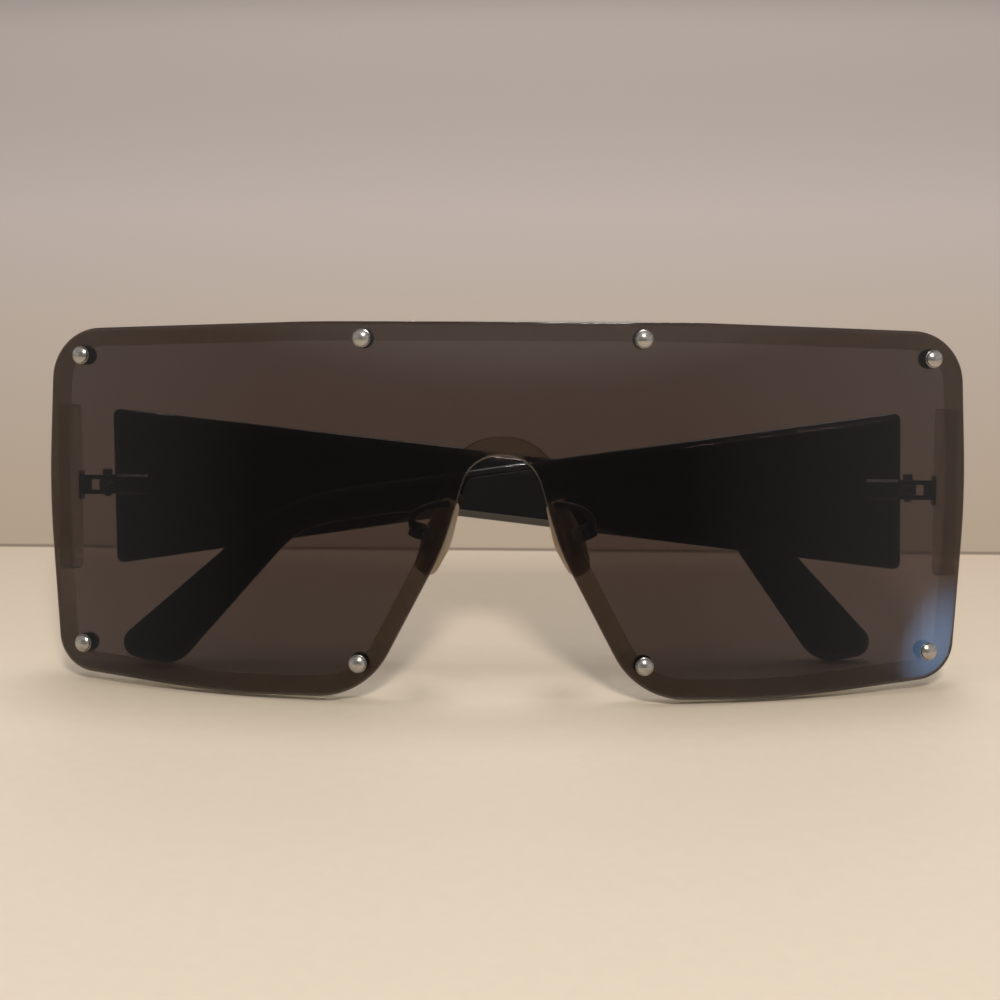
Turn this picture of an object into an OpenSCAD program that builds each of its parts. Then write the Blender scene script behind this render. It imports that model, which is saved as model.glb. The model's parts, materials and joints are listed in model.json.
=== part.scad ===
// Oversized one-lens sunglasses, folded, standing on the lens edge and the arm tips.
// Inside the model x runs across, y rearward and z up along the lens; stand() leans it back.

/* [Lens] */
// Width of the lens, straight across
lens_w = 148.4; // [138:0.1:158]
// Height of the lens from its lower edge to its top edge
lens_h = 59.8; // [54:0.1:66]
// Radius of the lens's curve round the face
lens_curve_r = 270; // [240:1:330]
// Thickness of the lens
lens_t = 2; // [1.6:0.1:2.6]
// Height of the nose arch above the lower edge
arch_h = 38.6; // [35:0.1:42]
// Width of the nose arch at its top
arch_w = 9.6; // [8:0.1:11.5]
// Width of the nose gap between the two lower lobes
nose_w = 43.2; // [39:0.1:47]
// Radius of the upper outer corners
top_corner_r = 8.5; // [6:0.1:10]
// Radius of the lower outer corners
low_corner_r = 6.3; // [5:0.1:8]
// Radius of the lobes beside the nose
lobe_r = 13; // [10:0.1:15]
// Radius of the nose arch
arch_r = 5.9; // [5:0.1:6.2]
// Backward lean of the lens as the pair stands, in degrees
lean = 13; // [12:0.1:14]

/* [Rim] */
// Width of the rim behind the edge of the lens
rim_w = 3; // [2.4:0.1:3.6]
// Thickness of the rim
rim_t = 1.3; // [1:0.1:1.6]
// Gap between the lens and the rim
rim_gap = 0.05; // [0.02:0.01:0.1]
// Radius of the rim's round lug at each rivet
lug_r = 1.6; // [1.5:0.1:2.2]

/* [Rivets] */
// Radius of a rivet's domed head
rivet_head_r = 1.25; // [1:0.05:1.4]
// Height of a rivet's domed head
rivet_head_h = 0.75; // [0.5:0.05:1]
// Radius of a rivet's shank
rivet_r = 0.7; // [0.5:0.05:0.8]
// Radius of the closed end of a rivet
rivet_tail_r = 1.1; // [1:0.05:1.3]
// Height of the closed end of a rivet
rivet_tail_h = 0.45; // [0.3:0.05:0.6]
// Radius of the washer behind the rim
washer_r = 1.5; // [1.4:0.05:1.8]
// Thickness of that washer
washer_t = 0.3; // [0.2:0.05:0.4]

/* [End pieces] */
// Height of an end piece
end_h = 27; // [24:0.1:30]
// Thickness of an end piece
end_t = 1.6; // [1.3:0.1:2]
// Height of its middle above the lens's lower edge
end_z = 32.6; // [30:0.1:35]
// Distance from the side of the lens to an end piece's inner face
end_inset = 4.1; // [3.7:0.1:4.5]
// Thickness of its foot on the rim
foot_t = 1.2; // [1:0.1:1.5]
// Radius of its rear corners
end_corner_r = 1.6; // [0.8:0.1:2.4]

/* [Hinges] */
// Distance from an end piece's inner face to the hinge pin
fork_l = 4; // [3.7:0.1:4.4]
// Distance from the rear of the rim, at an end piece, to a hinge pin
hinge_back = 4.39; // [4.1:0.01:4.8]
// Height of a hinge's middle above the lens's lower edge
hinge_z = 32.8; // [30:0.1:35]
// Radius of the knuckle and of the two tines
barrel_r = 1.4; // [1.3:0.05:1.5]
// Height of the whole hinge
barrel_h = 3.2; // [3:0.1:4]
// Thickness of a tine
tine_t = 0.75; // [0.6:0.05:0.9]
// Radius of the hinge screw's shank
pin_r = 0.6; // [0.5:0.05:0.7]
// Radius of the hinge screw's head
pin_head_r = 0.85; // [0.75:0.05:1]
// Height of the hinge screw's head
pin_head_h = 0.9; // [0.6:0.05:1.1]
// Radial clearance of the knuckle on its screw
run_gap = 0.05; // [0.03:0.01:0.08]
// Length of the spring box
box_l = 5.2; // [5:0.1:6.5]
// Height of the spring box
box_h = 3.4; // [3.2:0.1:4]
// Distance from the pin to the spring box
box_start = 1.75; // [1.7:0.05:2]
// Radius of the bore that holds the spring
spring_bore_r = 0.95; // [0.9:0.05:1]
// Radius of the sprung rod
rod_r = 0.5; // [0.4:0.05:0.55]
// Radius of the spring's wire
wire_r = 0.12; // [0.1:0.01:0.14]
// Turns of the spring
spring_turns = 4; // [3:1:5]

/* [Arms] */
// Height of an arm at its front end
arm_front_h = 26.2; // [24:0.1:28]
// Thickness of an arm
arm_t = 2.1; // [1.8:0.1:2.2]
// Distance from the hinge pin to an arm's inner face
arm_y = 1.45; // [1.42:0.01:1.6]
// Distance from the hinge pin to an arm's front end
arm_start = 0.8; // [0.7:0.1:1.2]
// Distance from the hinge pin to the bend behind the ear
bend_x = 101.3; // [95:0.1:104]
// Height of the middle of the bend, from the hinge's middle
bend_z = -2.7; // [-4:0.1:-1]
// Half the height of an arm at the bend
bend_half = 2.7; // [2.4:0.1:3.2]
// Length of the part behind the ear
tip_l = 38.4; // [36:0.1:40]
// Half the height of the part behind the ear at its end
tip_half = 5.2; // [4.5:0.1:5.6]
// Downward bend of the left arm's tip, in degrees
left_tip_angle = 43.6; // [43:0.1:44]
// Downward bend of the right arm's tip, in degrees
right_tip_angle = 52; // [51:0.1:53]
// Width of the bevel round an arm's edges
bevel_w = 1.1; // [0.8:0.1:1.4]
// Depth of that bevel
bevel_d = 0.45; // [0.3:0.05:0.6]
// Clearance between the two folded arms
arms_gap = 0.28; // [0.25:0.01:0.6]
// Rise of the right arm and fall of the left arm in their own planes, in degrees
cant = 0.95; // [0:0.05:1]

/* [Nose pads] */
// Length of a pad
pad_l = 12.8; // [12:0.1:14]
// Width of a pad
pad_w = 7; // [6.2:0.1:7.6]
// Thickness of a pad
pad_t = 2.2; // [1.8:0.1:2.4]
// Distance from the middle of the pair to the middle of a pad
pad_x = 10.5; // [10.2:0.1:11.2]
// Depth of the middle of a pad behind the front of the lens
pad_y = 8.3; // [8:0.1:9]
// Height of the middle of a pad above the lens's lower edge
pad_z = 25.2; // [24:0.1:27]
// Angle of a pad seen from above, in degrees
pad_flare = 32; // [28:1:36]
// Angle of a pad seen from the front, in degrees
pad_splay = 21; // [19:1:23]
// Thickness of the hard plate in the back of a pad
core_t = 0.6; // [0.5:0.05:0.8]
// Radius of the wire that carries a pad
pad_wire_r = 0.55; // [0.45:0.05:0.65]
// Radius of the small screw through a pad's lug
pad_screw_r = 0.4; // [0.35:0.05:0.45]

/* [Hidden] */
$fn = 64;

over = 1;            // how far a cut runs past what it cuts
fit = 0.03;          // clearance of a shank in a fixed hole
side_gap = 0.05;     // clearance of the knuckle between its tines
arc_step = 7;        // degrees between two points of a small corner
wide_step = 1.5;     // degrees between two points of a wide sweep
wide_r = 30;         // radius from which a corner counts as a wide sweep

// Where the floor's point under the middle of the pair lies, seen from the lens's lower edge
rest_y = 15.66;
rest_z = -1.42;

// Where the end pieces and the hinge pins stand across the pair
half_w = lens_w / 2;
end_x = half_w - end_inset;
hinge_x = end_x - fork_l;

// The depth of the rim's rear at the middle of the pair, and of a hinge pin
shell_depth = lens_t + rim_gap + rim_t;
hinge_y = lens_curve_r - sqrt(lens_curve_r * lens_curve_r - end_x * end_x) + shell_depth + hinge_back;

// Swing of each folded arm out of square with the pair, in degrees
fold = atan((arm_t + arms_gap) / (2 * hinge_x));

black = "#17171a";
smoke = "#4a4744";
smoke_brown = "#4c4335";
steel = "#c9c9cc";
gunmetal = "#4b4c50";
clear_pad = "#d8c6ae";
white_plate = "#e9e4da";

// Outlines

// A turn from 0 to 360 degrees, brought to between -180 and 180
function short_turn(a) = a > 180 ? a - 360 : a < -180 ? a + 360 : a;

// The points of the arc of radius r that rounds corner b, between a and c
function corner(a, b, c, r) =
    let (
        u = (a - b) / norm(a - b),
        v = (c - b) / norm(c - b),
        half = acos(max(-1, min(1, u * v))) / 2,
        mid = b + (u + v) / norm(u + v) * r / sin(half),
        p = b + u * r / tan(half),
        q = b + v * r / tan(half),
        start = atan2(p[1] - mid[1], p[0] - mid[0]),
        turn = short_turn(atan2(q[1] - mid[1], q[0] - mid[0]) - start),
        steps = max(1, ceil(abs(turn) / (r < wide_r ? arc_step : wide_step)))
    )
    [for (i = [0 : steps]) mid + r * [cos(start + turn * i / steps), sin(start + turn * i / steps)]];

// A closed outline from corners [x, z, radius]
function rounded(corners) =
    let (n = len(corners), at = [for (c = corners) [c[0], c[1]]])
    [for (i = [0 : n - 1]) each corner(at[(i + n - 1) % n], at[i], at[(i + 1) % n], corners[i][2])];

function unit(v) = v / norm(v);

// A closed outline moved inward by d, for points that run clockwise
function inset(path, d) =
    let (n = len(path))
    [for (i = [0 : n - 1])
        let (
            before = unit(path[i] - path[(i + n - 1) % n]),
            after = unit(path[(i + 1) % n] - path[i]),
            side = unit([before[1] + after[1], -before[0] - after[0]])
        )
        path[i] + side * d / max(0.5, [before[1], -before[0]] * side)];

function mirrored(corners) = [for (i = [len(corners) - 1 : -1 : 0]) [-corners[i][0], corners[i][1], corners[i][2]]];

// The wearer's left half of the lens, from the top clockwise to the nose arch: shares of half the
// width and of the height, with the radius of each corner
top_r = lens_w * 1.7;
side_r = lens_w;
low_r = lens_w * 0.8;
nose_side_r = lens_h * 0.67;
half_lens = [
    [half_w * 0.404, lens_h * 0.9975, top_r],
    [half_w * 0.988, lens_h * 0.976, top_corner_r],
    [half_w * 1.003, lens_h * 0.535, side_r],
    [half_w * 0.977, lens_h * 0.052, low_corner_r],
    [half_w * 0.593, 0, low_r],
    [nose_w / 2, 0, lobe_r],
    [nose_w * 0.22, lens_h * 0.388, nose_side_r],
    [arch_w / 2, arch_h, arch_r]
];
lens_outline = rounded(concat(half_lens, mirrored(half_lens)));
rim_inner = inset(lens_outline, rim_w);

// The lens's nose edge at height z: its distance from the middle of the pair
function nose_edge(z) =
    min([for (i = [1 : len(lens_outline) - 1])
        let (a = lens_outline[i - 1], b = lens_outline[i])
        if (a[0] > 0 && b[0] > 0 && (a[1] - z) * (b[1] - z) <= 0 && a[1] != b[1])
            a[0] + (b[0] - a[0]) * (z - a[1]) / (b[1] - a[1])]);

// Where the four rivets of each side stand: [x, z]
rivet_places = [
    [half_w - top_corner_r * 0.65, lens_h * 0.906],
    [nose_w * 0.513, lens_h - rim_w * 0.93],
    [nose_w * 0.527, rim_w * 1.8],
    [half_w - top_corner_r * 0.64, low_corner_r * 1.13]
];

// Placing

// Leans the pair back and sets its origin on the floor, under its middle
module stand()
    translate([0, -rest_y, -rest_z])
        rotate([-lean, 0, 0])
            children();

// Puts what is drawn at the front of the lens's middle, facing -y, at place [x, z] on the curve
module on_lens(place)
    translate([0, lens_curve_r, place[1]])
        rotate([0, 0, asin(place[0] / lens_curve_r)])
            translate([0, -lens_curve_r, 0])
                children();

module at_rivets()
    for (side = [-1, 1])
        for (p = rivet_places)
            on_lens([side * p[0], p[1]])
                children();

// Draws the wearer's right side as it is, and the left side as its mirror image
module on_side(left)
    if (left) mirror([1, 0, 0]) children();
    else children();

// The hinge's own frame: x along the folded arm, y rearward, z along the pin
module at_hinge(left)
    on_side(left)
        translate([-hinge_x, hinge_y, hinge_z])
            children();

// The frame of a folded arm: as the hinge's, swung by the arm's own fold
module at_arm(left)
    at_hinge(left)
        rotate([0, 0, left ? -fold : fold])
            children();

// The frame of a nose pad: x away from the nose, y rearward, z up its length
module at_pad(left)
    on_side(!left)
        translate([pad_x, pad_y, pad_z])
            rotate([0, -pad_splay, 0])
                rotate([0, 0, -pad_flare])
                    children();

// Draws a shape of the y-z plane, given as [y, z] points, from x = 0 to x = length
module along_x(length, points)
    rotate([90, 0, 90])
        linear_extrude(length)
            polygon(points);

// A cylinder along x from x0 to x1
module rod_x(r, x0, x1)
    translate([x0, 0, 0])
        rotate([0, 90, 0])
            cylinder(r = r, h = x1 - x0);

// A cylinder along y from y0 to y1
module rod_y(r, y0, y1)
    translate([0, y0, 0])
        rotate([-90, 0, 0])
            cylinder(r = r, h = y1 - y0);

// A cylinder along z from z0 to z1
module rod_z(r, z0, z1)
    translate([0, 0, z0])
        cylinder(r = r, h = z1 - z0);

// A block between two corners
module block(low, high)
    translate(low)
        cube(high - low);

// Lens, rim and rivets

deepest = hinge_y + lens_t;

// The layer of the lens's curve from depth y0 to depth y1
module layer(y0, y1)
    translate([0, lens_curve_r, -lens_h / 2])
        difference() {
            cylinder(r = lens_curve_r - y0, h = lens_h * 2, $fn = 360);
            translate([0, 0, -over])
                cylinder(r = lens_curve_r - y1, h = lens_h * 2 + 2 * over, $fn = 360);
        }

// A flat outline of the x-z plane, drawn through from the front to behind the rim
module through(outline, extra = 0)
    translate([0, deepest + extra, 0])
        rotate([90, 0, 0])
            linear_extrude(deepest + over + 2 * extra)
                polygon(outline);

module shield_lens() color(smoke, 0.75) stand()
    difference() {
        intersection() {
            layer(0, lens_t);
            through(lens_outline);
        }
        at_rivets() rod_y(rivet_r + fit, -over, lens_t + over);
    }

module rear_rim() color(smoke_brown) stand()
    difference() {
        intersection() {
            layer(lens_t + rim_gap, shell_depth);
            union() {
                difference() {
                    through(lens_outline);
                    through(rim_inner, over);
                }
                at_rivets() rod_y(lug_r, 0, shell_depth + over);
            }
        }
        at_rivets() rod_y(rivet_r + fit, -over, shell_depth + over);
    }

// A rivet's domed head: the cap of a sphere, flat against the lens
module rivet_head() {
    ball = (rivet_head_r * rivet_head_r + rivet_head_h * rivet_head_h) / (2 * rivet_head_h);
    rotate([90, 0, 0])
        rotate_extrude($fn = 48)
            intersection() {
                translate([0, rivet_head_h - ball]) circle(r = ball, $fn = 96);
                square([rivet_head_r, rivet_head_h]);
            }
}

module lens_rivets() color(steel) stand()
    at_rivets() {
        translate([0, -fit, 0]) rivet_head();
        rod_y(rivet_r, -fit, shell_depth + washer_t + fit);
        rod_y(rivet_tail_r, shell_depth + washer_t + fit, shell_depth + washer_t + fit + rivet_tail_h);
    }

module rivet_washers() color(steel) stand()
    at_rivets()
        difference() {
            rod_y(washer_r, shell_depth, shell_depth + washer_t);
            rod_y(rivet_r + fit, shell_depth - over, shell_depth + washer_t + over);
        }

// End pieces

end_rear = hinge_y - 0.35 * barrel_r;
end_reach = end_x + rim_w;

// The upright plate's outline, as [y, z] points, with its rear corners rounded
function end_plate() =
    let (low = end_z - end_h / 2, high = end_z + end_h / 2)
    concat(
        [[0, low]],
        corner([0, low], [end_rear, low], [end_rear, high], end_corner_r),
        corner([end_rear, low], [end_rear, high], [0, high], end_corner_r),
        [[0, high]]
    );

module end_piece(left) color(smoke_brown) stand()
    on_side(left)
        intersection() {
            union() {
                translate([-end_x - end_t, 0, 0]) along_x(end_t, end_plate());
                intersection() {
                    block([-end_reach, 0, end_z - end_h / 2], [-end_x, end_rear, end_z + end_h / 2]);
                    layer(shell_depth, shell_depth + foot_t);
                }
            }
            translate([0, lens_curve_r, 0])
                cylinder(r = lens_curve_r - shell_depth, h = lens_h, $fn = 360);
        }

// Hinges

slot_x = barrel_r + 0.7 * barrel_r;
arm_plate_t = 0.7 * barrel_r;
half_slot = barrel_h / 2 - tine_t;
fork_foot_t = 0.4;
fork_foot_h = barrel_h * 1.5;

module hinge_fork(left) color(gunmetal) stand()
    at_hinge(left)
        difference() {
            union() {
                rod_z(barrel_r, -barrel_h / 2, barrel_h / 2);
                block([-fork_l, -barrel_r, -barrel_h / 2], [0, arm_plate_t - barrel_r, barrel_h / 2]);
                block([-fork_l, -fork_l * 0.75, -fork_foot_h / 2],
                      [fork_foot_t - fork_l, arm_plate_t - barrel_r, fork_foot_h / 2]);
            }
            block([-slot_x, -2 * barrel_r, -half_slot], [2 * barrel_r, 2 * barrel_r, half_slot]);
            rod_z(pin_r + fit, -barrel_h, barrel_h);
        }

pin_tail = 0.4;
pin_end = barrel_h / 2 + pin_tail;
pin_slot_w = 0.25;
pin_slot_d = 0.3;

module hinge_screw(left) color(steel) stand()
    at_hinge(left)
        difference() {
            union() {
                rod_z(pin_r, -pin_end, barrel_h / 2 + fit);
                rod_z(pin_head_r, barrel_h / 2 + fit, barrel_h / 2 + fit + pin_head_h);
            }
            translate([0, 0, barrel_h / 2 + fit + pin_head_h - pin_slot_d])
                block([-over, -pin_slot_w / 2, 0], [over, pin_slot_w / 2, over]);
        }

knuckle_half = half_slot - side_gap;
neck_gap = 0.1;
neck_end = box_start - neck_gap;
front_wall = 0.7;
rod_room = 1.1;
rod_end = box_start + box_l - rod_room;
stop_t = 0.55;
spring_start = box_start + front_wall;
spring_end = rod_end - stop_t;

module hinge_knuckle(left) color(steel) stand()
    at_arm(left)
        difference() {
            union() {
                rod_z(barrel_r, -knuckle_half, knuckle_half);
                block([0, -knuckle_half, -knuckle_half], [neck_end, knuckle_half, knuckle_half]);
                rod_x(rod_r, 0, rod_end);
            }
            rod_z(pin_r + run_gap, -barrel_h, barrel_h);
        }

module rod_stop(left) color(steel) stand()
    at_arm(left)
        difference() {
            rod_x(spring_bore_r - run_gap, spring_end, rod_end);
            rod_x(rod_r, spring_end - over, rod_end + over);
        }

coil_r = (rod_r + spring_bore_r) / 2;
coil_gap = (spring_end - spring_start - 2 * wire_r) / spring_turns;
coil_steps = 8;
wire_sides = 6;

// The coil's middle line at turn t
function coil_at(t) = [spring_start + wire_r + fit + (coil_gap - 2 * fit / spring_turns) * t,
                       coil_r * cos(360 * t), coil_r * sin(360 * t)];

// A closed tube of radius r round the points of a path, with its ends shut
module tube(path, r, sides) {
    n = len(path);
    rings = [for (i = [0 : n - 1])
        let (
            ahead = unit(path[min(i + 1, n - 1)] - path[max(i - 1, 0)]),
            helper = abs(ahead[2]) < 0.8 ? [0, 0, 1] : [1, 0, 0],
            u = unit(cross(ahead, helper)),
            v = cross(ahead, u)
        )
        [for (k = [0 : sides - 1]) path[i] + r * (u * cos(360 * k / sides) + v * sin(360 * k / sides))]
    ];
    points = [for (ring = rings) each ring];
    walls = [for (i = [0 : n - 2], k = [0 : sides - 1])
        let (a = i * sides + k, b = i * sides + (k + 1) % sides)
        each [[a, a + sides, b + sides], [a, b + sides, b]]];
    ends = [for (k = [1 : sides - 2])
        each [[0, k, k + 1], [(n - 1) * sides, (n - 1) * sides + k + 1, (n - 1) * sides + k]]];
    polyhedron(points, concat(walls, ends));
}

module hinge_spring(left) color(steel) stand()
    at_arm(left)
        tube([for (i = [0 : spring_turns * coil_steps]) coil_at(i / coil_steps)], wire_r, wire_sides);

box_front = -1.25;
box_chamfer = 0.45;
box_end = box_start + box_l;
stud_r = 0.5;
stud_l = 1.1;
stud_places = [box_start + box_l * 0.25, box_start + box_l * 0.75];

// The spring box's section, as [y, z] points, with its two inner edges broken
box_section = [
    [box_front + box_chamfer, -box_h / 2], [arm_y, -box_h / 2], [arm_y, box_h / 2],
    [box_front + box_chamfer, box_h / 2], [box_front, box_h / 2 - box_chamfer],
    [box_front, box_chamfer - box_h / 2]
];

module spring_box(left) color(gunmetal) stand()
    at_arm(left) {
        difference() {
            translate([box_start, 0, 0]) along_x(box_l, box_section);
            rod_x(rod_r + run_gap, 0, box_end - 2 * run_gap - front_wall);
            rod_x(spring_bore_r, spring_start, box_end - front_wall);
        }
        for (x = stud_places)
            translate([x, 0, 0]) rod_y(stud_r, arm_y, arm_y + stud_l);
    }

// Arms

// A point of the part behind the ear: along it, and above or below its middle line
function tip_at(along, above, angle) =
    [bend_x + along * cos(angle) + above * sin(angle), bend_z - along * sin(angle) + above * cos(angle)];

function with_r(p, r) = [p[0], p[1], r];

arm_corner_r = 1.2;

// An arm's outline in its own plane, clockwise from its upper front corner
function arm_outline(angle) = rounded([
    [arm_start, arm_front_h * 0.483, arm_corner_r],
    with_r(tip_at(-bend_half * 0.4, bend_half, angle), tip_l * 0.9),
    with_r(tip_at(tip_l, tip_half * 1.02, angle), tip_half * 0.5),
    with_r(tip_at(tip_l * 0.857, -tip_half * 0.96, angle), tip_half * 1.15),
    with_r(tip_at(bend_half * 0.46, -bend_half, angle), tip_l * 0.36),
    [bend_x * 0.81, bend_z - bend_half * 0.02, tip_l],
    [arm_start, -arm_front_h * 0.517, arm_corner_r]
]);

// Triangles that fill an outline between its points i and j, for points that run clockwise from the
// lowest x and turn back only once
function filled(path, i, j) =
    j - i < 2 ? [] :
    path[i + 1][0] < path[j - 1][0] ? concat([[i, i + 1, j]], filled(path, i + 1, j)) :
    concat([[i, j - 1, j]], filled(path, i, j - 1));

// A plate of the x-z plane whose outline is moved inward by [inset, y] at each of its layers
module shaped_plate(path, layers) {
    n = len(path);
    last = (len(layers) - 1) * n;
    points = [for (l = layers) each [for (p = inset(path, l[0])) [p[0], l[1], p[1]]]];
    walls = [for (l = [0 : len(layers) - 2], i = [0 : n - 1])
        let (a = l * n + i, b = l * n + (i + 1) % n)
        each [[a, b + n, b], [a, a + n, b + n]]];
    front = filled(inset(path, layers[0][0]), 0, n - 1);
    rear = [for (f = filled(inset(path, layers[len(layers) - 1][0]), 0, n - 1))
        [last + f[2], last + f[1], last + f[0]]];
    polyhedron(points, concat(walls, front, rear));
}

arm_layers = [[bevel_w, 0], [0, bevel_d], [0, arm_t - bevel_d], [bevel_w, arm_t]];

module arm(left) color(black) stand()
    at_arm(left)
        difference() {
            translate([0, arm_y, 0])
                rotate([0, left ? cant : -cant, 0])
                    shaped_plate(arm_outline(left ? left_tip_angle : right_tip_angle), arm_layers);
            for (x = stud_places)
                translate([x, 0, 0]) rod_y(stud_r + fit, 0, arm_y + stud_l + fit);
        }

// Nose pads

back_x = pad_t / 2;
lug_l = 2.1;
lug_w = 1.2;
lug_h = 1.8;
screw_x = back_x + lug_l;
cheek_t = 0.5;
cup_half = lug_w / 2 + run_gap + cheek_t;
cup_floor = screw_x + lug_h / 2 + 2 * run_gap;
cup_back = cup_floor + cheek_t;
cup_front = screw_x - lug_h * 0.6;
cup_h = 2.4;
core_l = pad_l * 0.55;
core_w = pad_w * 0.55;
pad_screw_head_r = 0.75;
pad_screw_head_h = 0.5;

// A pad's outline, clockwise, narrower at the top, and how its edge rounds over
pad_outline = rounded([
    [-pad_w * 0.26, pad_l / 2, pad_w * 0.22], [pad_w * 0.26, pad_l / 2, pad_w * 0.22],
    [pad_w * 0.54, -pad_l * 0.04, pad_l * 0.5], [pad_w * 0.32, -pad_l / 2, pad_w * 0.3],
    [-pad_w * 0.32, -pad_l / 2, pad_w * 0.3], [-pad_w * 0.54, -pad_l * 0.04, pad_l * 0.5]
]);
pad_edge = pad_t * 0.45;
pad_layers = concat(
    [for (a = [0 : 30 : 90]) [pad_edge * (1 - sin(a)), -back_x + pad_edge * (1 - cos(a))]],
    [for (a = [90 : -30 : 0]) [pad_edge * (1 - sin(a)), back_x - pad_edge * (1 - cos(a))]]
);

module nose_pad(left) color(clear_pad) stand()
    at_pad(left)
        difference() {
            rotate([0, 0, -90]) shaped_plate(pad_outline, pad_layers);
            block([back_x - core_t, -core_w / 2 - fit, -core_l / 2 - fit],
                  [back_x + over, core_w / 2 + fit, core_l / 2 + fit]);
        }

module pad_plate(left) color(white_plate) stand()
    at_pad(left)
        difference() {
            union() {
                block([back_x - core_t, -core_w / 2, -core_l / 2], [back_x, core_w / 2, core_l / 2]);
                block([back_x - fit, -lug_w / 2, -lug_h / 2], [screw_x, lug_w / 2, lug_h / 2]);
                translate([screw_x, 0, 0]) rod_y(lug_h / 2, -lug_w / 2, lug_w / 2);
            }
            translate([screw_x, 0, 0]) rod_y(pad_screw_r + run_gap, -over, over);
        }

module pad_screw(left) color(steel) stand()
    at_pad(left)
        translate([screw_x, 0, 0]) {
            rod_y(pad_screw_r, -cup_half - fit, cup_half + fit);
            rod_y(pad_screw_head_r, -cup_half - fit - pad_screw_head_h, -cup_half - fit);
        }

// From the pad's frame to the frame of the lens, for the wearer's left side
function turned(p) =
    let (
        a = [p[0] * cos(pad_flare) + p[1] * sin(pad_flare), -p[0] * sin(pad_flare) + p[1] * cos(pad_flare), p[2]],
        b = [a[0] * cos(pad_splay) - a[2] * sin(pad_splay), a[1], a[0] * sin(pad_splay) + a[2] * cos(pad_splay)]
    )
    [pad_x, pad_y, pad_z] + b;

// The wire's way from the rim, outward and down, and into the cup's rear
wire_z = pad_z + pad_l * 0.44;
wire_x = nose_edge(wire_z) + rim_w / 2;
wire_y = lens_curve_r - sqrt(pow(lens_curve_r - shell_depth, 2) - wire_x * wire_x);
wire_start = [wire_x, wire_y, wire_z];
wire_turn = asin(wire_x / (lens_curve_r - shell_depth));
wire_out = [-sin(wire_turn), cos(wire_turn), 0];
wire_root = wire_start + pad_wire_r * wire_out;
wire_into = turned([cup_back, 0, 0]);
wire_bow = turned([cup_back + 5 * pad_wire_r, 0, cup_h]);
wire_bend = wire_root + 3 * pad_wire_r * wire_out + [5 * pad_wire_r, 0, 0];
wire_rings = 14;

// A cubic curve through two ends, pulled by two handles
function bezier(a, b, c, d, t) =
    pow(1 - t, 3) * a + 3 * pow(1 - t, 2) * t * b + 3 * (1 - t) * t * t * c + pow(t, 3) * d;

module pad_arm(left) color(steel) stand()
    on_side(!left) {
        tube(concat([wire_start], [for (i = [0 : wire_rings])
                 bezier(wire_root, wire_bend, wire_bow, wire_into, i / wire_rings)]), pad_wire_r, 10);
        translate([pad_x, pad_y, pad_z])
            rotate([0, -pad_splay, 0])
                rotate([0, 0, -pad_flare])
                    difference() {
                        block([cup_front, -cup_half, -cup_h / 2], [cup_back, cup_half, cup_h / 2]);
                        block([cup_front - over, -lug_w / 2 - run_gap, -cup_h],
                              [cup_floor, lug_w / 2 + run_gap, cup_h]);
                        translate([screw_x, 0, 0]) rod_y(pad_screw_r + fit, -2 * cup_half, 2 * cup_half);
                    }
    }

shield_lens();
rear_rim();
lens_rivets();
rivet_washers();
end_piece(true);  // left_end_piece
hinge_fork(true);  // left_hinge_fork
hinge_screw(true);  // left_hinge_screw
hinge_knuckle(true);  // left_hinge_knuckle
hinge_spring(true);  // left_hinge_spring
rod_stop(true);  // left_rod_stop
spring_box(true);  // left_spring_box
arm(true);  // left_arm
end_piece(false);  // right_end_piece
hinge_fork(false);  // right_hinge_fork
hinge_screw(false);  // right_hinge_screw
hinge_knuckle(false);  // right_hinge_knuckle
hinge_spring(false);  // right_hinge_spring
rod_stop(false);  // right_rod_stop
spring_box(false);  // right_spring_box
arm(false);  // right_arm
pad_arm(true);  // left_pad_arm
pad_screw(true);  // left_pad_screw
pad_plate(true);  // left_pad_plate
nose_pad(true);  // left_nose_pad
pad_arm(false);  // right_pad_arm
pad_screw(false);  // right_pad_screw
pad_plate(false);  // right_pad_plate
nose_pad(false);  // right_nose_pad
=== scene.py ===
"""Oversized one-lens sunglasses, folded, on a pale table top.

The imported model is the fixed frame. Lens, rim, rivets, arms and nose pads are rebuilt here as finer
meshes in the same places. Washers, end pieces, hinges, pad arms and pad plates keep their own shapes,
with a finish and softened edges.
Inside the pieces x runs across, y rearward and z up along the lens; stand() leans them back.
"""

import json
import math

import bmesh
import bpy
from bpy.props import FloatProperty, FloatVectorProperty, IntProperty, PointerProperty
from mathutils import Matrix, Vector


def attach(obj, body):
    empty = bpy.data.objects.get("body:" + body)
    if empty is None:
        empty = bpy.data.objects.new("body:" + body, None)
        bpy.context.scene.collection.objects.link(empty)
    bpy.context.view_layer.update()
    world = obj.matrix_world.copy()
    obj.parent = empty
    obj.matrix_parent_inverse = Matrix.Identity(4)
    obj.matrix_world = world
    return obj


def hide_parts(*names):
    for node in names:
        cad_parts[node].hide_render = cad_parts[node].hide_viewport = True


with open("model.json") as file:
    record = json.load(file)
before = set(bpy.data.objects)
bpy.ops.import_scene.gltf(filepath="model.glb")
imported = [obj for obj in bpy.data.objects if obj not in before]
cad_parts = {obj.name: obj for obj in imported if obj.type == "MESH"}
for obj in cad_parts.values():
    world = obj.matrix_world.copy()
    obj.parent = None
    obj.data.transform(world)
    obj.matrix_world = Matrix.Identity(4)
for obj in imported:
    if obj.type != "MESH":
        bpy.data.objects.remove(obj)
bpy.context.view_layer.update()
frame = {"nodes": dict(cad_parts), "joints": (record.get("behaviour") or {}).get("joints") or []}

bl_info = {
    "name": "Folded sunglasses",
    "version": (1, 0, 0),
    "blender": (4, 5, 0),
    "location": "3D View > Sidebar > Sunglasses",
    "description": "Builds a pair of oversized one-lens sunglasses around its packed model",
    "category": "Add Mesh",
}

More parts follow.
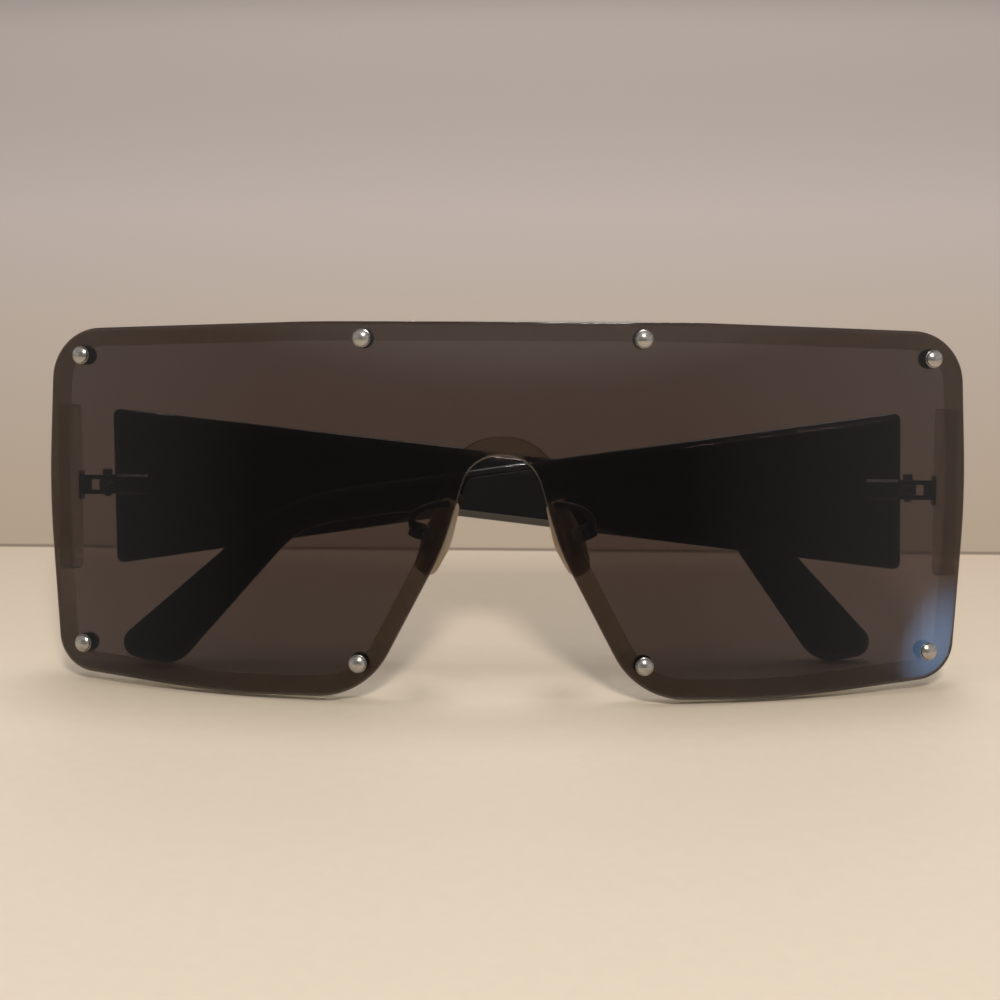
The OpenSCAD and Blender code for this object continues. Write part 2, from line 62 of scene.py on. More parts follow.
JOINTS = {joint["name"]: joint for joint in frame["joints"]}
SIDES = ("left", "right")

# The hinge's middle behind the front of the lens and above its lower edge
HINGE_DEPTH = 0.0169988
HINGE_UP = 0.0328

# How finely outlines are divided: the longest stretch, and the turn between two points of an arc
LONGEST = 0.0015
FINE_STEP = math.radians(4)
PROFILE_STEP = math.radians(15)
LUG_SIDES = 48

# Where shading and softened edges begin, and what counts as one point
SHARP_ANGLE = math.radians(35)
BEVEL_ANGLE = math.radians(40)
BEVEL_SEGMENTS = 3
SAME_POINT = 1e-6
TINY = 1e-7

IN_PLACE = Matrix.Identity(4)


# Settings

def length(name, description, default, low=0.0):
    """A size in metres"""
    return FloatProperty(name=name, description=description, default=default, min=low,
                         unit="LENGTH", precision=5)


def level(name, description, default, unit="NONE", low=0.0):
    """A level, a share or a power"""
    return FloatProperty(name=name, description=description, default=default, min=low, unit=unit)


def vector(name, description, default, unit="NONE"):
    """A place or a direction"""
    return FloatVectorProperty(name=name, description=description, default=default, size=3, unit=unit)


def angle(name, description, degrees):
    """An angle, given in degrees"""
    return FloatProperty(name=name, description=description, default=math.radians(degrees),
                         unit="ROTATION")


def colour(name, description, default):
    """A colour in linear light"""
    return FloatVectorProperty(name=name, description=description, default=default, subtype="COLOR",
                               size=3, min=0.0, max=1.0)


class LensSettings(bpy.types.PropertyGroup):
    """Sizes of the lens and of the rim behind it"""
    width: length("Width", "Width of the lens, straight across", 0.1484)
    height: length("Height", "Height of the lens", 0.0598)
    curve: length("Curve", "Radius of the lens's curve round the face", 0.27)
    thickness: length("Thickness", "Thickness of the lens", 0.002)
    arch_height: length("Arch height", "Height of the nose arch above the lower edge", 0.0386)
    arch_width: length("Arch width", "Width of the nose arch at its top", 0.0096)
    nose_width: length("Nose width", "Width of the nose gap between the lobes", 0.0432)
    top_corner: length("Upper corners", "Radius of the upper outer corners", 0.0085)
    low_corner: length("Lower corners", "Radius of the lower outer corners", 0.0063)
    lobe: length("Lobes", "Radius of the lobes beside the nose", 0.013)
    arch: length("Arch", "Radius of the nose arch", 0.0059)
    polish: length("Polished edge", "Width of the rounding along the edge of the lens", 0.00028)
    rim_width: length("Rim width", "Width of the rim behind the edge of the lens", 0.003)
    rim_thickness: length("Rim thickness", "Thickness of the rim", 0.0013)
    rim_gap: length("Rim gap", "Gap between the lens and the rim", 0.00005)
    rim_round: length("Rim rounding", "Rounding of the rim's edges", 0.0002)
    lug: length("Lugs", "Radius of the rim's round lug at each rivet", 0.0016)


class RivetSettings(bpy.types.PropertyGroup):
    """Sizes of the rivets through lens and rim"""
    head: length("Head", "Radius of a rivet's domed head", 0.00125)
    head_height: length("Head height", "Height of a rivet's domed head", 0.00075)
    shank: length("Shank", "Radius of a rivet's shank", 0.0007)
    tail: length("Tail", "Radius of the closed end of a rivet", 0.0011)
    tail_height: length("Tail height", "Height of the closed end of a rivet", 0.00045)
    washer_thickness: length("Washer", "Thickness of the washer behind the rim", 0.0003)
    clearance: length("Clearance", "Clearance of a shank in its hole", 0.00003)
    seat: length("Seat", "Radius of the thin bright ring round a head", 0.00146)
    seat_rise: length("Seat rise", "How far that ring stands out of the lens", 0.00008)
    seat_wall: length("Seat wall", "Thickness of that ring", 0.00018)
    sides: IntProperty(name="Sides", description="Points round a rivet", default=40, min=12, max=96)


class ArmSettings(bpy.types.PropertyGroup):
    """Sizes of the two arms, measured from their hinge pins"""
    front_height: length("Front height", "Height of an arm at its front end", 0.0262)
    thickness: length("Thickness", "Thickness of an arm", 0.0021)
    offset: length("Offset", "Distance from the hinge pin to an arm's inner face", 0.00145)
    start: length("Start", "Distance from the hinge pin to an arm's front end", 0.0008)
    bend: length("Bend", "Distance from the hinge pin to the bend behind the ear", 0.1013)
    bend_drop: length("Bend drop", "Drop of the bend below the hinge's middle", 0.0027)
    bend_half: length("Bend half height", "Half the height of an arm at the bend", 0.0027)
    tip: length("Tip", "Length of the part behind the ear", 0.0384)
    tip_half: length("Tip half height", "Half the height of that part at its end", 0.0052)
    front_corner: length("Front corners", "Radius of the two front corners", 0.0012)
    bevel_width: length("Bevel width", "Width of the bevel round an arm's edges", 0.0011)
    bevel_depth: length("Bevel depth", "Depth of that bevel", 0.00045)
    soften: length("Softening", "Rounding of the bevel's own edges", 0.0005)
    left_tip_angle: angle("Left tip angle", "Downward bend of the left arm's tip", 43.6)
    right_tip_angle: angle("Right tip angle", "Downward bend of the right arm's tip", 52.0)
    cant: angle("Cant", "Rise of the right arm and fall of the left one in their own planes", 0.95)


class PadSettings(bpy.types.PropertyGroup):
    """Sizes of the nose pads and of the wires that carry them"""
    length: length("Length", "Length of a pad", 0.0128)
    width: length("Width", "Width of a pad", 0.007)
    thickness: length("Thickness", "Thickness of a pad", 0.0022)
    across: length("Across", "Distance from the middle of the pair to the middle of a pad", 0.0105)
    depth: length("Depth", "Depth of the middle of a pad behind the front of the lens", 0.0083)
    up: length("Height", "Height of the middle of a pad above the lens's lower edge", 0.0252)
    flare: angle("Flare", "Angle of a pad seen from above", 32.0)
    splay: angle("Splay", "Angle of a pad seen from the front", 21.0)
    core: length("Core", "Thickness of the hard plate in the back of a pad", 0.0006)
    lug_length: length("Lug length", "Distance from the back of a pad to its small screw", 0.0021)
    lug_width: length("Lug width", "Width of the plate's lug", 0.0012)
    lug_height: length("Lug height", "Height of the plate's lug", 0.0018)
    running: length("Running clearance", "Clearance of the lug in its cup", 0.00005)
    cheek: length("Cheek", "Thickness of the cup's walls", 0.0005)
    cup_height: length("Cup height", "Height of the cup", 0.0024)
    wire: length("Wire", "Radius of the wire that carries a pad", 0.00055)


class FinishSettings(bpy.types.PropertyGroup):
    """Colours of the finishes"""
    lens: colour("Lens", "Light that the smoke lens lets through", (0.128, 0.101, 0.096))
    rim: colour("Rim", "Light that the rim and the end pieces let through", (0.76, 0.71, 0.57))
    black: colour("Black", "Glossy black of the arms", (0.009, 0.009, 0.0095))
    steel: colour("Steel", "Metal of the rivets and small screws", (0.46, 0.44, 0.415))
    wire: colour("Wire", "Dark metal of the pad arms", (0.16, 0.145, 0.135))
    gunmetal: colour("Gunmetal", "Dark metal of the hinges", (0.13, 0.13, 0.14))
    silicone: colour("Silicone", "Translucent silicone of the nose pads", (0.62, 0.52, 0.41))
    core: colour("Core", "Hard plates in the nose pads", (0.78, 0.75, 0.68))


class StudioSettings(bpy.types.PropertyGroup):
    """Camera, table top and light"""
    focal: level("Focal length", "Focal length of the camera on a 36 mm film", 68.58, "CAMERA", 1.0)
    camera_x: length("Camera x", "Place of the camera across the pair", 0.01026, -10.0)
    camera_y: length("Camera y", "Place of the camera along the depth", -0.29436, -10.0)
    camera_z: length("Camera z", "Height of the camera", 0.11979, -10.0)
    pitch: angle("Pitch", "Downward tilt of the camera", 17.0)
    yaw: angle("Yaw", "Turn of the camera to its left", 2.098)
    roll: angle("Roll", "Turn of the camera about its own line of sight", -0.196)
    edge: length("Edge", "Distance from the pair to the line where the table's tone changes", 0.063)
    table: colour("Table", "Cream tone of the table top", (0.72, 0.63, 0.505))
    # Painted shade: the table top darkens towards the line, as the shade of a corner would darken it
    corner_shade: colour("Dusk", "Tone of the table top next to that line", (0.56, 0.455, 0.35))
    beyond: colour("Beyond", "Beige grey tone beyond that line", (0.39, 0.31, 0.225))
    far: colour("Far", "Tone far beyond that line", (0.56, 0.485, 0.45))
    # Painted shadow: a dark line along the change of tone, standing in for the shadow in a corner
    seam: colour("Seam", "Tone of the line itself", (0.2, 0.15, 0.105))
    room: colour("Room", "Tone of the room's light", (1.0, 0.95, 0.9))
    room_light: level("Room light", "Level of the room's light", 0.26)
    ceiling: level("Ceiling edge", "Level of the pale strip high in the room", 2.0)
    window: colour("Window", "Tone of the window mirrored at the lens's edge", (0.35, 0.6, 1.0))
    window_at: vector("Window at", "Direction of that window", (0.655, -0.755, 0.03))
    window_size: level("Window size", "Reach of that window", 0.08, low=0.001)
    window_light: level("Window light", "Level of that window", 20.0)
    front_at: vector("Front lamp at", "Place of the lamp above the camera's side", (0.1, -0.6, 0.7),
                     "LENGTH")
    front_size: length("Front lamp size", "Size of that lamp", 0.14)
    front_power: level("Front power", "Power of that lamp", 3.9, "POWER")
    front_tone: colour("Front tone", "Tone of that lamp", (1.0, 0.95, 0.89))
    rear_at: vector("Rear lamp at", "Place of the lamp above the far side", (0.06, 0.27, 0.82),
                    "LENGTH")
    rear_size: length("Rear lamp size", "Size of that lamp", 0.22)
    rear_power: level("Rear power", "Power of that lamp", 1.9, "POWER")
    rear_tone: colour("Rear tone", "Tone of that lamp and of the small one overhead", (1.0, 0.97, 0.95))
    glint_at: vector("Glint lamp at", "Place of the small lamp overhead", (-0.125, 0.08, 0.88),
                     "LENGTH")
    glint_size: length("Glint lamp size", "Size of that lamp", 0.016)
    glint_power: level("Glint power", "Power of that lamp", 0.35, "POWER")
    far_at: vector("Far lamp at", "Place of the wide lamp over the background", (0.0, 1.9, 1.3),
                   "LENGTH")
    far_size: length("Far lamp size", "Size of that lamp", 1.5)
    far_power: level("Far power", "Power of that lamp", 8.0, "POWER")
    far_tone: colour("Far lamp tone", "Tone of that lamp", (1.0, 0.98, 0.97))


GROUPS = {"lens": LensSettings, "rivets": RivetSettings, "arms": ArmSettings, "pads": PadSettings,
          "finish": FinishSettings, "studio": StudioSettings}


class SunglassesSettings(bpy.types.PropertyGroup):
    """Everything that a user would change"""
    lens: PointerProperty(type=LensSettings)
    rivets: PointerProperty(type=RivetSettings)
    arms: PointerProperty(type=ArmSettings)
    pads: PointerProperty(type=PadSettings)
    finish: PointerProperty(type=FinishSettings)
    studio: PointerProperty(type=StudioSettings)


def settings():
    """The settings of the scene at hand"""
    return bpy.context.scene.sunglasses


# Places

def flat(x, z):
    """A point of an outline"""
    return Vector((x, z))


def lean():
    """The backward lean of the lens, from the axis of a hinge"""
    return math.asin(abs(JOINTS["right_hinge"]["axis"][1]))


def fold():
    """The swing of a folded arm out of square with the pair, from the line of its spring"""
    return math.asin(abs(JOINTS["right_slide"]["axis"][1]) / math.cos(lean()))


def stand():
    """Leans the pair back and sets its origin under its middle, in line with the right hinge"""
    turn = Matrix.Rotation(-lean(), 4, "X")
    return Matrix.Translation(Vector(JOINTS["right_hinge"]["pos_m"]) - turn @ hinge_place()) @ turn


def hinge_place():
    """The right hinge's middle, seen from the middle of the lens's lower edge"""
    across = abs(JOINTS["right_hinge"]["pos_m"][0])
    return Vector((-across, HINGE_DEPTH, HINGE_UP))


def on_side(other):
    """A mirror across the middle of the pair for the other side, or no change"""
    return Matrix.Scale(-1, 4, (1, 0, 0)) if other else Matrix.Identity(4)


def at_arm(left):
    """The frame of a folded arm: x along it, y rearward, z along the hinge pin"""
    swing = Matrix.Rotation(-fold() if left else fold(), 4, "Z")
    return on_side(left) @ Matrix.Translation(hinge_place()) @ swing


def on_lens(place):
    """The frame at place (x, z) on the front of the lens, facing -y"""
    s = settings().lens
    turn = Matrix.Rotation(math.asin(place[0] / s.curve), 4, "Z")
    return Matrix.Translation((0, s.curve, place[1])) @ turn @ Matrix.Translation((0, -s.curve, 0))


def at_pad(left):
    """The frame of a nose pad: x away from the nose, y rearward, z up its length"""
    s = settings().pads
    tilt = Matrix.Rotation(-s.splay, 4, "Y") @ Matrix.Rotation(-s.flare, 4, "Z")
    return on_side(not left) @ Matrix.Translation((s.across, s.depth, s.up)) @ tilt


# Outlines

def short_turn(a):
    """The same turn, between minus half a turn and half a turn"""
    return (a + math.pi) % (2 * math.pi) - math.pi


def corner(a, b, c, r, step):
    """The points of the arc of radius r that rounds corner b, between a and c"""
    u = (a - b).normalized()
    v = (c - b).normalized()
    half = math.acos(max(-1.0, min(1.0, u.dot(v)))) / 2
    middle = b + (u + v).normalized() * r / math.sin(half)
    first = b + u * r / math.tan(half) - middle
    last = b + v * r / math.tan(half) - middle
    start = math.atan2(first.y, first.x)
    turn = short_turn(math.atan2(last.y, last.x) - start)
    count = max(2, math.ceil(abs(turn) / step), math.ceil(abs(turn) * r / LONGEST))
    angles = [start + turn * i / count for i in range(count + 1)]
    return [middle + flat(math.cos(t), math.sin(t)) * r for t in angles]


def rounded(corners, step=FINE_STEP):
    """A closed outline from corners (x, z, radius), with no stretch longer than LONGEST"""
    at = [flat(x, z) for x, z, _ in corners]
    path = []
    for i, (_, _, r) in enumerate(corners):
        path += corner(at[i - 1], at[i], at[(i + 1) % len(at)], r, step)
    return divided(path)


def divided(path):
    """The same closed outline, with long stretches divided"""
    out = []
    for i, p in enumerate(path):
        q = path[(i + 1) % len(path)]
        parts = max(1, math.ceil((q - p).length / LONGEST))
        out += [p.lerp(q, k / parts) for k in range(parts) if (q - p).length > TINY]
    return out


def inset(path, d):
    """A closed outline moved inward by d, for points that run clockwise"""
    out = []
    for i, p in enumerate(path):
        before = (p - path[i - 1]).normalized()
        after = (path[(i + 1) % len(path)] - p).normalized()
        side = flat(before.y + after.y, -before.x - after.x).normalized()
        out.append(p + side * d / max(0.5, flat(before.y, -before.x).dot(side)))
    return out


def lens_outline():
    """The outline of the lens, clockwise from the top of the wearer's left half"""
    s = settings().lens
    half = s.width / 2
    side = [
        (half * 0.404, s.height * 0.9975, s.width * 1.7),          # slight crown of the upper edge
        (half * 0.988, s.height * 0.976, s.top_corner),            # upper outer corner
        (half * 1.003, s.height * 0.535, s.width),                 # slight belly of the side
        (half * 0.977, s.height * 0.052, s.low_corner),            # lower outer corner
        (half * 0.593, 0, s.width * 0.8),                          # where the lower edge begins to rise
        (s.nose_width / 2, 0, s.lobe),                             # lobe beside the nose
        (s.nose_width * 0.22, s.height * 0.388, s.height * 0.67),  # slight bow of the nose's side
        (s.arch_width / 2, s.arch_height, s.arch),                 # nose arch
    ]
    return rounded(side + [(-x, z, r) for x, z, r in reversed(side)])


def rivet_places():
    """Where the rivets stand, all eight"""
    s = settings().lens
    half = s.width / 2
    places = [
        (half - s.top_corner * 0.65, s.height * 0.906),         # upper outer corner
        (s.nose_width * 0.513, s.height - s.rim_width * 0.93),  # upper edge above the nose
        (s.nose_width * 0.527, s.rim_width * 1.8),              # lobe beside the nose
        (half - s.top_corner * 0.64, s.low_corner * 1.13),      # lower outer corner
    ]
    return [(sign * x, z) for sign in (-1, 1) for x, z in places]


def arm_outline(tip_angle):
    """An arm's outline in its own plane, clockwise from its upper front corner"""
    s = settings().arms
    c, n = math.cos(tip_angle), math.sin(tip_angle)

    def tip_at(along, above, r):
        return (s.bend + along * c + above * n, -s.bend_drop - along * n + above * c, r)

    return rounded([
        (s.start, s.front_height * 0.483, s.front_corner),             # upper front corner
        tip_at(-s.bend_half * 0.4, s.bend_half, s.tip * 0.9),          # top of the bend
        tip_at(s.tip, s.tip_half * 1.02, s.tip_half * 0.5),            # upper corner of the tip
        tip_at(s.tip * 0.857, -s.tip_half * 0.96, s.tip_half * 1.15),  # lower corner of the tip
        tip_at(s.bend_half * 0.46, -s.bend_half, s.tip * 0.36),        # underside of the bend
        (s.bend * 0.81, -s.bend_drop - s.bend_half * 0.02, s.tip),     # end of the straight lower edge
        (s.start, -s.front_height * 0.517, s.front_corner),            # lower front corner
    ])


def profile(points):
    """An open row of (inset, depth, radius), with its middle points rounded"""
    at = [flat(a, b) for a, b, _ in points]
    row = [at[0]]
    for i in range(1, len(points) - 1):
        row += corner(at[i - 1], at[i], at[i + 1], points[i][2], PROFILE_STEP)
    return row + [at[-1]]


# Meshes

def finished(name, bm, matrix, body, slot, replaced=()):
    """Turns a bmesh into a smooth piece in its place, riding on a body"""
    bmesh.ops.transform(bm, matrix=stand() @ matrix, verts=bm.verts)
    bmesh.ops.recalc_face_normals(bm, faces=bm.faces)
    mesh = bpy.data.meshes.new(name)
    bm.to_mesh(mesh)
    bm.free()
    piece = bpy.data.objects.new(name, mesh)
    bpy.context.scene.collection.objects.link(piece)
    for polygon in mesh.polygons:
        polygon.use_smooth = True
    mesh.set_sharp_from_angle(angle=SHARP_ANGLE)
    mesh.materials.append(finish_of(slot))
    weigh(piece)
    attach(piece, body)
    if replaced:
        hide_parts(*replaced)


def weigh(piece):
    """Lets large faces set the shading at their edges"""
    modifier = piece.modifiers.new("weighted normals", "WEIGHTED_NORMAL")
    modifier.keep_sharp = True


def ring_walls(bm, rings):
    """Joins neighbouring closed rings of vertices with quads"""
    count = len(rings[0])
    for low, high in zip(rings, rings[1:]):
        for i in range(count):
            k = (i + 1) % count
            bm.faces.new((low[i], low[k], high[k], high[i]))


def plate(path, layers):
    """A plate of the x-z plane whose outline is moved inward by (inset, depth) at each layer"""
    bm = bmesh.new()
    rings = [[bm.verts.new((p.x, y, p.y)) for p in inset(path, d)] for d, y in layers]
    ring_walls(bm, rings)
    bm.faces.new(rings[0])
    bm.faces.new(list(reversed(rings[-1])))
    return bm


def slit(bm, half, step):
    """Cuts a flat piece into upright strips, so that it can be bent round the face"""
    count = math.ceil(half / step)
    for i in range(-count, count + 1):
        geometry = list(bm.verts) + list(bm.edges) + list(bm.faces)
        bmesh.ops.bisect_plane(bm, geom=geometry, dist=SAME_POINT,
                               plane_co=(i * step, 0, 0), plane_no=(1, 0, 0))


def bend_round(bm):
    """Bends a flat piece, with its depth along y, onto the curve of the lens"""
    r = settings().lens.curve
    for v in bm.verts:
        v.co.y = r - math.sqrt((r - v.co.y) ** 2 - v.co.x ** 2)


def turned_piece(bm, matrix, outline, sides):
    """Adds what a row of (radius, depth) points sweeps round y: a solid, or a ring off the axis"""
    rings = []
    for radius, y in outline:
        if radius < TINY:
            rings.append([bm.verts.new(matrix @ Vector((0, y, 0)))])
            continue
        angles = [2 * math.pi * k / sides for k in range(sides)]
        rings.append([bm.verts.new(matrix @ Vector((radius * math.cos(a), y, radius * math.sin(a))))
                      for a in angles])
    if outline[0][0] > TINY:
        rings.append(rings[0])
    for low, high in zip(rings, rings[1:]):
        for k in range(sides):
            n = (k + 1) % sides
            if len(low) == 1:
                bm.faces.new((low[0], high[n], high[k]))
            elif len(high) == 1:
                bm.faces.new((low[k], low[n], high[0]))
            else:
                bm.faces.new((low[k], low[n], high[n], high[k]))


def soften(node, width, slot):
    """Gives a CAD node its finish, and rounds its sharp edges by a modifier"""
    piece = frame["nodes"][node]
    material = finish_of(slot)
    if piece.material_slots:
        for s in piece.material_slots:
            s.material = material
    else:
        piece.data.materials.append(material)
    weld = piece.modifiers.new("weld", "WELD")
    weld.merge_threshold = SAME_POINT
    if width:
        bevel = piece.modifiers.new("soft edges", "BEVEL")
        bevel.width = width
        bevel.segments = BEVEL_SEGMENTS
        bevel.limit_method = "ANGLE"
        bevel.angle_limit = BEVEL_ANGLE
    weigh(piece)


# Finishes

# The depth of all fine relief, and the middle of a noise's values
RELIEF = 0.00001
MIDDLE = (0.3, 0.7)
UPPER_MIDDLE = (0.35, 0.7)


def shader(name, **sockets):
    """A new material with its main shader's sockets set: (material, node tree, shader)"""
    material = bpy.data.materials.new(name)
    material.use_nodes = True
    tree = material.node_tree
    bsdf = tree.nodes["Principled BSDF"]
    for socket, value in sockets.items():
        words = socket.replace("_", " ")
        if isinstance(value, (tuple, list)) or hasattr(value, "r"):
            value = (*value[:3], 1.0) if words == "Base Color" else tuple(value)
        bsdf.inputs[words].default_value = value
    return material, tree, bsdf


def noise(tree, scale, detail=2.0, stretch=(1, 1, 1)):
    """A noise in the piece's own space: its factor socket"""
    place = tree.nodes.new("ShaderNodeTexCoord")
    mapping = tree.nodes.new("ShaderNodeMapping")
    mapping.inputs["Scale"].default_value = stretch
    texture = tree.nodes.new("ShaderNodeTexNoise")
    texture.inputs["Scale"].default_value = scale
    texture.inputs["Detail"].default_value = detail
    tree.links.new(place.outputs["Object"], mapping.inputs["Vector"])
    tree.links.new(mapping.outputs["Vector"], texture.inputs["Vector"])
    return texture.outputs["Fac"]


def ranged(tree, factor, low, high, start=0.0, stop=1.0):
    """A factor from start to stop, mapped from low to high"""
    node = tree.nodes.new("ShaderNodeMapRange")
    node.inputs["From Min"].default_value = start
    node.inputs["From Max"].default_value = stop
    node.inputs["To Min"].default_value = low
    node.inputs["To Max"].default_value = high
    tree.links.new(factor, node.inputs["Value"])
    return node.outputs["Result"]


def mixed(tree, factor, a, b):
    """A colour between a and b, which are colours or colour sockets"""
    node = tree.nodes.new("ShaderNodeMix")
    node.data_type = "RGBA"
    node.clamp_factor = False
    tree.links.new(factor, node.inputs["Factor"])
    for value, socket in ((a, node.inputs["A"]), (b, node.inputs["B"])):
        if isinstance(value, bpy.types.NodeSocket):
            tree.links.new(value, socket)
        else:
            socket.default_value = (*value[:3], 1.0)
    return node.outputs["Result"]


def bumped(tree, bsdf, factor, strength):
    """Gives a shader fine relief"""
    node = tree.nodes.new("ShaderNodeBump")
    node.inputs["Strength"].default_value = strength
    node.inputs["Distance"].default_value = RELIEF
    tree.links.new(factor, node.inputs["Height"])
    tree.links.new(node.outputs["Normal"], bsdf.inputs["Normal"])


def scaled(tone, *factors):
    """A tone times one factor, or times one for each of its parts"""
    return tuple(c * k for c, k in zip(tone, factors * 3 if len(factors) == 1 else factors))


def smoke_lens():
    """Polished grey-brown tinted plastic, with a faint film and fine specks"""
    f = settings().finish
    material, tree, bsdf = shader("smoke_lens", Base_Color=f.lens, Roughness=0.04, IOR=1.5,
                                  Transmission_Weight=1.0)
    film = noise(tree, scale=90, detail=4.0)
    specks = noise(tree, scale=2600, detail=1.0)
    dusty = mixed(tree, ranged(tree, specks, 0, 1, 0.72, 0.78), f.lens, scaled(f.lens, 1.3))
    tree.links.new(dusty, bsdf.inputs["Base Color"])
    tree.links.new(ranged(tree, film, 0.03, 0.06, *UPPER_MIDDLE), bsdf.inputs["Roughness"])
    return material


WORN_BLACK = (0.02, 0.02, 0.021)


def gloss_black(name, roughness, scratch):
    """Glossy black, with hairline scratches and a slightly uneven polish"""
    f = settings().finish
    material, tree, bsdf = shader(name, Base_Color=f.black, Roughness=roughness, IOR=1.55,
                                  Coat_Weight=0.6, Coat_Roughness=0.04)
    polish = noise(tree, scale=140, detail=3.0)
    hairlines = noise(tree, scale=60, detail=3.0, stretch=(3, 3, 60))
    tree.links.new(ranged(tree, polish, roughness * 0.7, roughness * 1.5, *MIDDLE),
                   bsdf.inputs["Roughness"])
    worn = mixed(tree, ranged(tree, hairlines, 0, 1, 0.62, 0.72), f.black, WORN_BLACK)
    tree.links.new(worn, bsdf.inputs["Base Color"])
    bumped(tree, bsdf, hairlines, scratch)
    return material


def smoke_rim():
    """Translucent smoke-brown plastic with a satin surface"""
    f = settings().finish
    material, tree, bsdf = shader("smoke_rim", Base_Color=f.rim, Roughness=0.2, IOR=1.15,
                                  Transmission_Weight=0.96)
    satin = noise(tree, scale=60, detail=2.0)
    tree.links.new(ranged(tree, satin, 0.18, 0.23, *MIDDLE), bsdf.inputs["Roughness"])
    tree.links.new(mixed(tree, satin, f.rim, scaled(f.rim, 0.95)), bsdf.inputs["Base Color"])
    return material


def bare_metal(name, tone, roughness):
    """Metal with a fine grain, darker in patches"""
    material, tree, bsdf = shader(name, Base_Color=tone, Metallic=1.0, Roughness=roughness)
    grain = noise(tree, scale=900, detail=3.0, stretch=(1, 1, 6))
    stain = noise(tree, scale=420, detail=2.0)
    stained = mixed(tree, ranged(tree, stain, 0, 1, 0.5, 0.8), tone, scaled(tone, 0.62))
    tree.links.new(stained, bsdf.inputs["Base Color"])
    tree.links.new(ranged(tree, grain, roughness * 0.75, roughness * 1.4, *MIDDLE),
                   bsdf.inputs["Roughness"])
    bumped(tree, bsdf, grain, 0.12)
    return material


def silicone():
    """Soft beige silicone that lets some light through"""
    f = settings().finish
    material, tree, bsdf = shader("pad_silicone", Base_Color=f.silicone, Roughness=0.34, IOR=1.41,
                                  Subsurface_Weight=0.6, Subsurface_Scale=0.004,
                                  Subsurface_Radius=(1.0, 0.7, 0.45), Transmission_Weight=0.55)
    clouds = noise(tree, scale=500, detail=3.0)
    yellowed = mixed(tree, ranged(tree, clouds, 0, 1, *UPPER_MIDDLE), f.silicone,
                     scaled(f.silicone, 0.97, 0.9, 0.78))
    tree.links.new(yellowed, bsdf.inputs["Base Color"])
    tree.links.new(ranged(tree, clouds, 0.28, 0.42, *MIDDLE), bsdf.inputs["Roughness"])
    bumped(tree, bsdf, noise(tree, scale=3000, detail=2.0), 0.1)
    return material


def core_plastic():
    """Off-white hard plastic of the plates inside the pads"""
    f = settings().finish
    material, tree, bsdf = shader("pad_core", Base_Color=f.core, Roughness=0.4, IOR=1.49)
    clouds = noise(tree, scale=700, detail=2.0)
    tree.links.new(ranged(tree, clouds, 0.34, 0.48, *MIDDLE), bsdf.inputs["Roughness"])
    tree.links.new(mixed(tree, clouds, f.core, scaled(f.core, 0.86)), bsdf.inputs["Base Color"])
    return material


FINISHES = {
    "smoke_lens": smoke_lens,
    "smoke_rim": smoke_rim,
    "black_arm": lambda: gloss_black("black_arm", roughness=0.08, scratch=0.05),
    "steel": lambda: bare_metal("steel", tuple(settings().finish.steel), roughness=0.24),
    "wire_metal": lambda: bare_metal("wire_metal", tuple(settings().finish.wire), roughness=0.4),
    "hinge_metal": lambda: bare_metal("hinge_metal", tuple(settings().finish.gunmetal), roughness=0.3),
    "pad_silicone": silicone,
    "pad_core": core_plastic,
}


def finish_of(slot):
    """The material of a slot, made once"""
    name = "finish_" + slot
    material = bpy.data.materials.get(name)
    if not material:
        material = FINISHES[slot]()
        material.name = name
    return material


# Operators

# Width of the softened edges of the pieces that keep their own shapes
SOFT = {
    "rivet_washers": 0.00006, "end_piece": 0.00022, "hinge_fork": 0.0001, "spring_box": 0.00012,
    "hinge_knuckle": 0.00005, "hinge_screw": 0.00007, "rod_stop": 0, "hinge_spring": 0,
    "pad_plate": 0.00006, "pad_arm": 0, "pad_screw": 0.00005,
}
HINGE_PARTS = {
    "hinge_fork": "hinge_metal", "spring_box": "hinge_metal", "hinge_knuckle": "steel",
    "hinge_screw": "steel", "rod_stop": "steel", "hinge_spring": "steel",
}

# The rim's lugs: how far a rounded edge stays off its corner, as a share of its radius
ARC_CUT = 0.3

# The rivets: the brim's share of a head, the dome's share of the brim, and points along dome and ring
BRIM = 0.45
DOME = 0.995
DOME_STEPS = 9
SEAT_POINTS = 8

# The nose pads: the rounded edge's share of the thickness, and the margin and depth of the dished front
PAD_EDGE = 0.45
DISH_MARGIN = 0.14
DISH_DEPTH = 0.05

# The camera's film and reach
FILM_WIDTH = 36.0
CLIP_START = 0.01
CLIP_END = 50.0

# The table top: its size, how far its tones take to change (the painted shade before the line among
# them), and where the line between them lies, with its painted shadow
TABLE_SIZE = 6.0
CORNER_SHADE_REACH = 0.09
FAR_REACH = 0.45
NEAR_ENDS = (-0.0006, 0.0004)
SEAM_SHADOW_ENDS = (0.0012, 0.0022)
FLECK = (0.3, 0.26, 0.22)
FLECK_SHARE = 0.05

# The room, by direction from the pair: its dim side, how far round that reaches, from which height
# to which the pale strip begins and ends (as the upward part of a direction), and the window's shape
DIM_SIDE = (-0.09, -1.0, 0.15)
DIM_REACH = (0.36, 0.8)
DIM_TO_BRIGHT = (0.4, 1.7)
STRIP_BEGINS = (0.212, 0.236)
STRIP_ENDS = (0.25, 0.33)
WINDOW_STRETCH = (1.0, 1.0, 2.6)
WINDOW_CORE = 0.3


